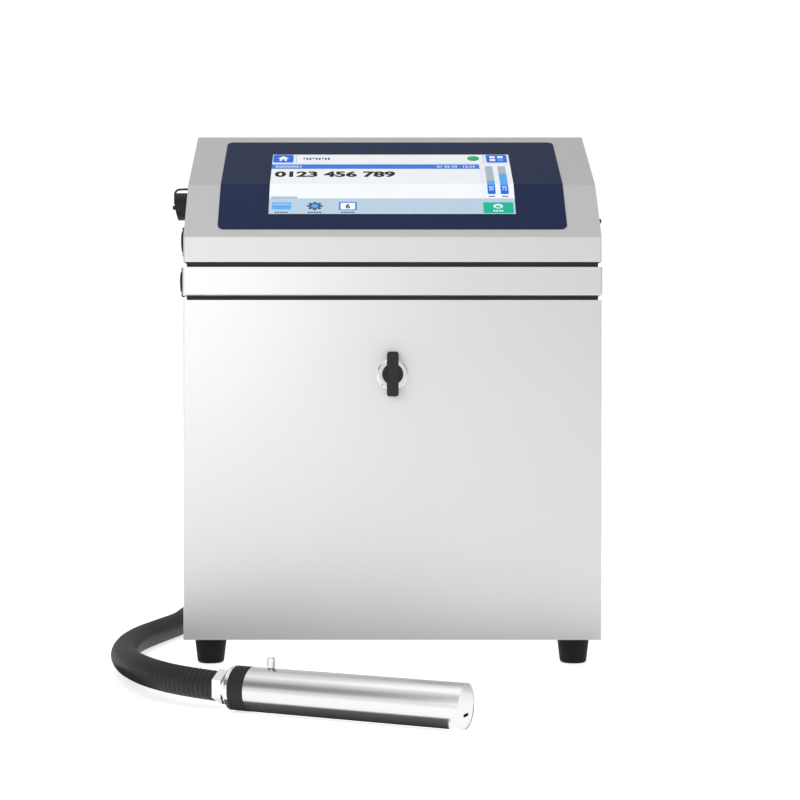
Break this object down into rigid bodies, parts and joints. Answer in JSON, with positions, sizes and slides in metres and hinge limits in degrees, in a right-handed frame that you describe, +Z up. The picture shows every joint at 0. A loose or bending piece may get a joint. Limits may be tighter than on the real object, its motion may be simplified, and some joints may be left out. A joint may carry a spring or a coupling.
{
  "type": "continuous inkjet date coder",
  "caption": "Desktop continuous inkjet date coder: steel cabinet with drop-down door, lift-up touch-screen head, and a cylindrical printhead on a corrugated conduit.",
  "frame": {"origin": "on the floor, below the middle of the door's outer face", "axes": "+X right seen from the front, +Y from the door to the back, +Z up"},
  "size_m": [0.4843, 0.9441, 0.5295],
  "materials": {
    "cabinet_steel": "satin brushed stainless sheet",
    "head_steel": "fine matte grey over steel sheet",
    "zinc_plate": "plated steel fixings",
    "chrome": "polished chrome",
    "polished_steel": "polished stainless tube",
    "seal_rubber": "dark grey closed-cell rubber",
    "foot_rubber": "black moulded rubber",
    "black_plastic": "black moulded plastic",
    "navy_film": "navy printed polyester film",
    "screen_glass": "lit touch screen",
    "board_green": "circuit board",
    "aluminium": "machined aluminium",
    "tank_plastic": "translucent blow-moulded plastic",
    "cap_plastic": "moulded blue plastic",
    "grey_plastic": "grey moulded plastic",
    "conduit": "black corrugated nylon conduit"
  },
  "bodies": {
    "cabinet": {"base_pan": "cabinet_steel", "side_panels": "cabinet_steel", "rear_panel": "cabinet_steel", "front_frame": "cabinet_steel", "collar_band": "cabinet_steel", "mid_deck": "cabinet_steel", "foot_screws": "zinc_plate", "door_hinge_brackets": "zinc_plate", "collar_hinge_leaves": "zinc_plate", "fan_guard": "zinc_plate", "drip_tray": "zinc_plate", "printhead_rear_cap": "chrome", "ink_gutter": "polished_steel", "groove_seals": "seal_rubber", "door_gasket": "seal_rubber", "rubber_feet": "foot_rubber", "printhead_ring": "black_plastic", "socket_lower": "black_plastic", "fan_housing": "black_plastic", "power_inlet": "black_plastic", "conduit_gland": "black_plastic", "power_supply": "aluminium", "printhead_deck": "aluminium", "valve_manifold": "aluminium", "ink_pump": "aluminium", "ink_tank": "tank_plastic", "solvent_tank": "tank_plastic", "ink_filter": "grey_plastic", "high_voltage_module": "grey_plastic", "nozzle_block": "grey_plastic", "jet_electrodes": "grey_plastic", "conduit_front_run": "conduit", "conduit_coil": "conduit", "conduit_rear_run": "conduit"},
    "door": {"door_panel": "cabinet_steel", "door_hinge_ears": "zinc_plate", "latch_body": "chrome"},
    "latch": {"latch_knob": "black_plastic", "latch_cam": "zinc_plate"},
    "head": {"head_cover": "head_steel", "head_cheeks": "head_steel", "panel_overlay": "navy_film", "touch_screen": "screen_glass", "display_module": "black_plastic", "head_brackets": "zinc_plate", "main_board": "board_green", "head_hinge_leaves": "zinc_plate", "head_sockets": "black_plastic", "standby_bush": "zinc_plate"},
    "usb_cap_body": {"usb_cap": "foot_rubber"},
    "upper_cap_body": {"socket_cap_upper": "foot_rubber"},
    "lower_cap_body": {"socket_cap_lower": "foot_rubber"},
    "standby": {"standby_button": "black_plastic"},
    "fan": {"fan_rotor": "black_plastic"},
    "rocker": {"power_rocker": "black_plastic"},
    "ink_cap_body": {"ink_tank_cap": "grey_plastic"},
    "solvent_cap_body": {"solvent_tank_cap": "cap_plastic"},
    "pump_shaft": {"pump_rotor": "polished_steel"},
    "printhead_sleeve": {"printhead_cover": "polished_steel"},
    "thumb_screw": {"cover_thumb_screw": "polished_steel"}
  },
  "joints": [
    {"name": "door_drop", "type": "hinge", "parent": "cabinet", "child": "door", "pos_m": [0, 0.012, 0.031], "axis": [1, 0, 0], "range_deg": [0, 80]},
    {"name": "latch_turn", "type": "hinge", "parent": "door", "child": "latch", "pos_m": [0, 0, 0.28], "axis": [0, -1, 0], "range_deg": [0, 90]},
    {"name": "head_lift", "type": "hinge", "parent": "cabinet", "child": "head", "pos_m": [0, 0.305, 0.385], "axis": [-1, 0, 0], "range_deg": [0, 60]},
    {"name": "usb_cap_pull", "type": "slide", "parent": "head", "child": "usb_cap_body", "axis": [-1, 0, 0], "range_m": [0, 0.03]},
    {"name": "upper_cap_pull", "type": "slide", "parent": "head", "child": "upper_cap_body", "axis": [-1, 0, 0], "range_m": [0, 0.012]},
    {"name": "lower_cap_pull", "type": "slide", "parent": "cabinet", "child": "lower_cap_body", "axis": [-1, 0, 0], "range_m": [0, 0.012]},
    {"name": "standby_press", "type": "slide", "parent": "head", "child": "standby", "axis": [-1, 0, 0], "range_m": [0, 0.002], "stiffness_N_per_m": 400, "springref_m": -0.0005},
    {"name": "fan_spin", "type": "hinge", "parent": "cabinet", "child": "fan", "pos_m": [-0.11, 0.285, 0.27], "axis": [0, 1, 0], "continuous": true},
    {"name": "rocker_tip", "type": "hinge", "parent": "cabinet", "child": "rocker", "pos_m": [-0.165, 0.298, 0.07], "axis": [0, 0, 1], "range_deg": [0, 14]},
    {"name": "ink_cap_turn", "type": "hinge", "parent": "cabinet", "child": "ink_cap_body", "pos_m": [-0.122, 0.12, 0.19], "axis": [0, 0, 1], "range_deg": [0, 90]},
    {"name": "solvent_cap_turn", "type": "hinge", "parent": "cabinet", "child": "solvent_cap_body", "pos_m": [-0.008, 0.12, 0.19], "axis": [0, 0, 1], "range_deg": [0, 90]},
    {"name": "pump_spin", "type": "hinge", "parent": "cabinet", "child": "pump_shaft", "pos_m": [0.12, 0.15, 0.1], "axis": [0, 1, 0], "continuous": true},
    {"name": "cover_slide", "type": "slide", "parent": "cabinet", "child": "printhead_sleeve", "axis": [0.9074, -0.4202, 0], "range_m": [0, 0.2]},
    {"name": "thumb_screw_turn", "type": "hinge", "parent": "printhead_sleeve", "child": "thumb_screw", "pos_m": [-0.10321, -0.23431, 0.04], "axis": [0, 0, 1], "range_deg": [0, 360]}
  ]
}
